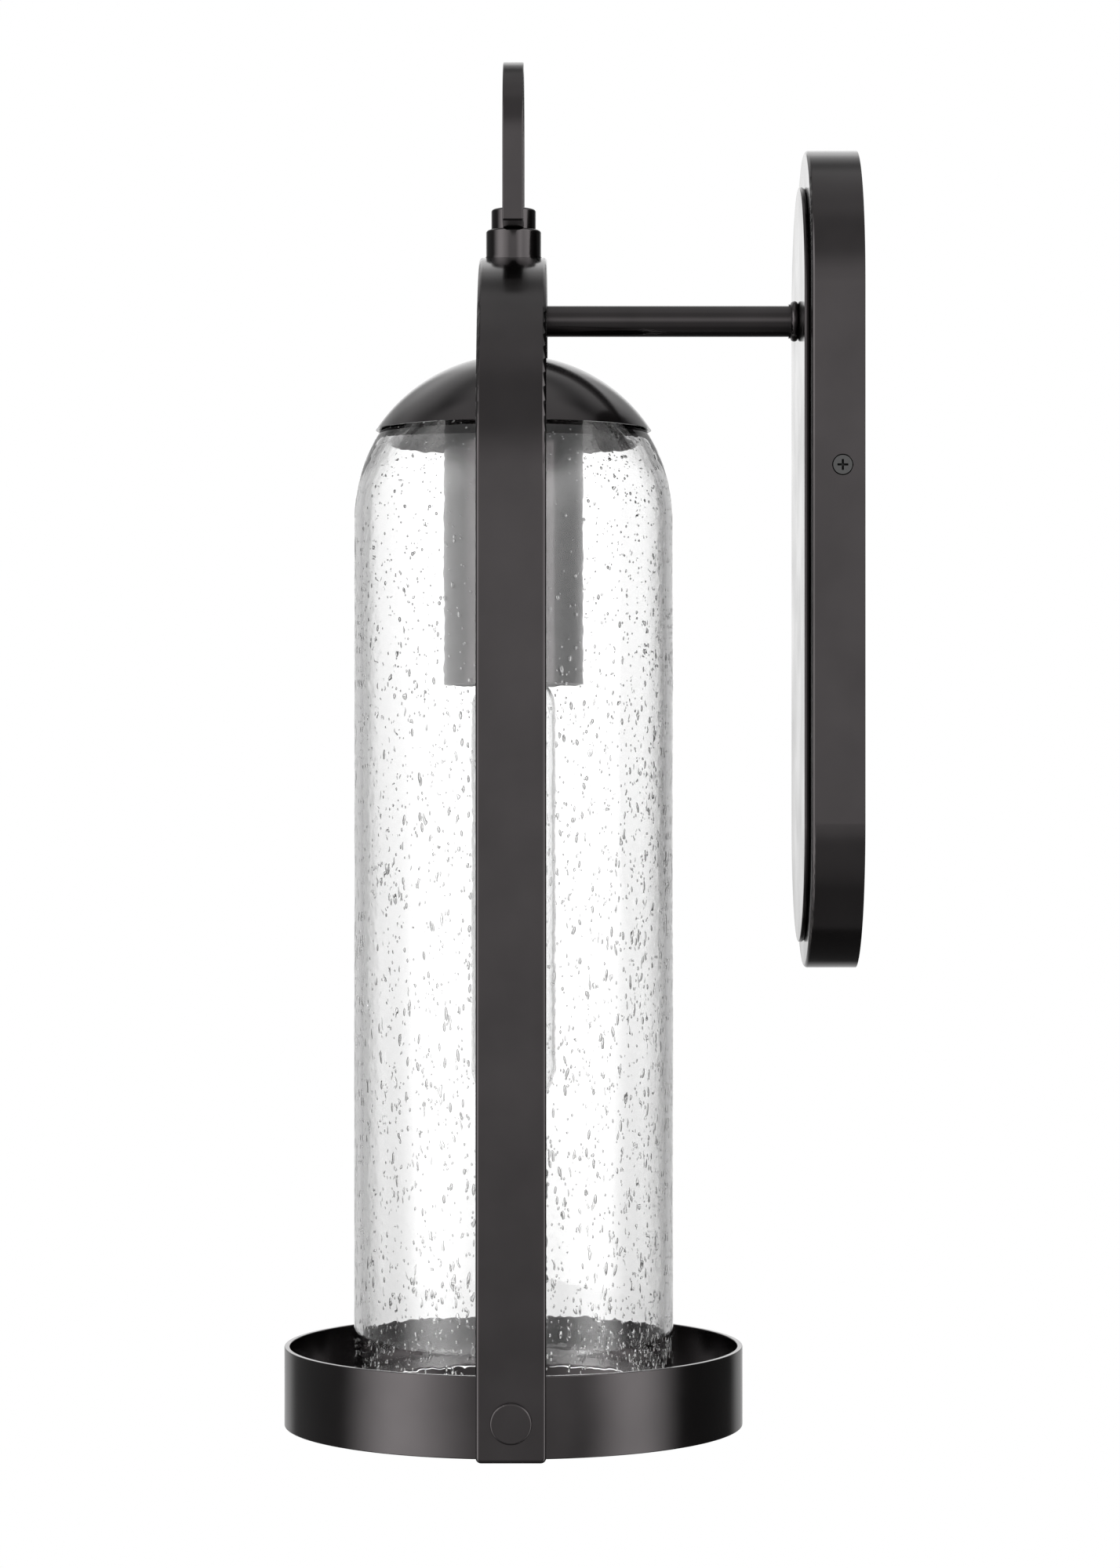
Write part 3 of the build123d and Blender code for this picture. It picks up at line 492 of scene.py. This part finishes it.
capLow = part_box("dome_cap")[0]
wavy = bellPiece.vertex_groups.new(name="wavy")  # the wave dies out under the cap and at the foot
for vertex in bellPiece.data.vertices:
    toEnd = min(capLow.z + bell["calmUnderCap"] - vertex.co.z, vertex.co.z - glassLow.z)
    wavy.add([vertex.index], min(1.0, max(0.0, toEnd / bell["calming"])), "REPLACE")
waveTexture = bpy.data.textures.new("bellWave", "CLOUDS")
waveTexture.noise_scale = bell["waveSize"]
applyModifier(
    bellPiece, "DISPLACE", texture=waveTexture, texture_coords="LOCAL", vertex_group="wavy",
    strength=bell["wave"], mid_level=1.0,
)
thick = bellPiece.vertex_groups.new(name="thick")  # glass gathers in the shoulder, thin again at the pad
thickest = bell["wall"] + bell["shoulder"]
gatherFrom, gatherFull, gatherEnd = bell["gather"]
for vertex in bellPiece.data.vertices:
    angle = math.degrees(math.asin(max(0.0, min(1.0, (vertex.co.z - headCentre) / bellRadius))))
    rising = max(0.0, (angle - gatherFrom) / (gatherFull - gatherFrom))
    falling = max(0.0, (gatherEnd - angle) / (gatherEnd - gatherFull))
    gather = min(rising, falling, 1.0)
    thick.add([vertex.index], (bell["wall"] + gather * bell["shoulder"]) / thickest, "REPLACE")
applyModifier(
    bellPiece, "SOLIDIFY", thickness=thickest, offset=-1.0, use_even_offset=True, vertex_group="thick",
)
applyModifier(
    bellPiece, "BEVEL", width=bell["footRound"], segments=bell["footSegments"], limit_method="ANGLE",
    angle_limit=math.radians(bell["sharpEdge"]),
)
bellPiece.data.materials.clear()
bellPiece.data.materials.append(bellGlassMaterial)
print("bell drawn:", len(bellPiece.data.polygons), "faces")


def seedShape(shape):  # one air seed, its faces turned inwards because it is a hollow
    makeActive(shape)
    bpy.ops.object.mode_set(mode="EDIT")
    bpy.ops.mesh.select_all(action="SELECT")
    bpy.ops.mesh.flip_normals()
    bpy.ops.object.mode_set(mode="OBJECT")
    points = [vertex.co.copy() for vertex in shape.data.vertices]
    faces = [tuple(face.vertices) for face in shape.data.polygons]
    bpy.data.objects.remove(shape)
    return points, faces


def seedPlace(draw):  # a point in the wall: angle, height, radius from the axis, outward tilt
    head = bellRadius * headTop
    straight = headCentre - glassLow.z
    wanted = 0.0
    while draw.random() * seeds["footMore"] >= wanted:  # crowded at the foot and on the wall side
        along = draw.uniform(seeds["lowest"], straight + head * seeds["headShare"])
        turn = draw.uniform(0, 2 * math.pi)
        wanted = seeds["backShare"] + (1 - seeds["backShare"]) * (0.5 + 0.5 * math.sin(turn))
        wanted *= seeds["footMore"] if along < seeds["footHeight"] else 1.0
    middle = bellRadius - bell["wall"] / 2 - bell["wave"] / 2
    middle += draw.uniform(-seeds["inset"], seeds["inset"]) * mm
    if along < straight:
        return turn, glassLow.z + along, middle, 0.0
    tilt = (along - straight) / bellRadius
    return turn, headCentre + middle * math.sin(tilt), middle * math.cos(tilt), tilt


draw = random.Random(seeds["random"])
bpy.ops.mesh.primitive_ico_sphere_add(subdivisions=1, radius=1.0)
smallSeed = seedShape(bpy.context.object)
bpy.ops.mesh.primitive_uv_sphere_add(
    segments=seeds["largeSegments"], ring_count=seeds["largeRings"], radius=1.0,
)
largeSeed = seedShape(bpy.context.object)
points, faces = [], []
for number in range(seeds["count"]):
    turn, height, radius, tilt = seedPlace(draw)
    small = draw.random() < seeds["smallShare"]
    girth = draw.uniform(*(seeds["smallRadius"] if small else seeds["largeRadius"])) * mm
    drop = headCentre + seeds["roundAbove"] - height
    below = min(1.0, max(0.0, drop / seeds["longBelow"]))  # drawn longer further down
    stretch = 1.0 + below * draw.uniform(*(seeds["smallStretch"] if small else seeds["largeStretch"]))
    lean = math.radians(draw.gauss(0, seeds["lean"]))
    shape = Matrix.Translation((0, lanternY, 0)) @ Matrix.Rotation(turn, 4, "Z")
    shape = shape @ Matrix.Translation((radius, 0, height)) @ Matrix.Rotation(-tilt, 4, "Y")
    shape = shape @ Matrix.Rotation(lean, 4, "X") @ Matrix.Diagonal((girth, girth, girth * stretch, 1))
    seedPoints, seedFaces = smallSeed if small else largeSeed
    start = len(points)
    points += [shape @ point for point in seedPoints]
    faces += [tuple(start + index for index in face) for face in seedFaces]
seedMesh = bpy.data.meshes.new("airSeeds")
seedMesh.from_pydata(points, [], faces)
seedMesh.materials.append(seedSkin())
seedPiece = bpy.data.objects.new("airSeeds", seedMesh)
bpy.context.scene.collection.objects.link(seedPiece)
deselectAll()
seedPiece.select_set(True)
bellPiece.select_set(True)
bpy.context.view_layer.objects.active = bellPiece
bpy.ops.object.join()
bpy.ops.object.shade_smooth()
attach(bellPiece, "fixture")
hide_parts("glass_shade")
print("seeds set:", seeds["count"], "bell now", len(bellPiece.data.polygons), "faces")
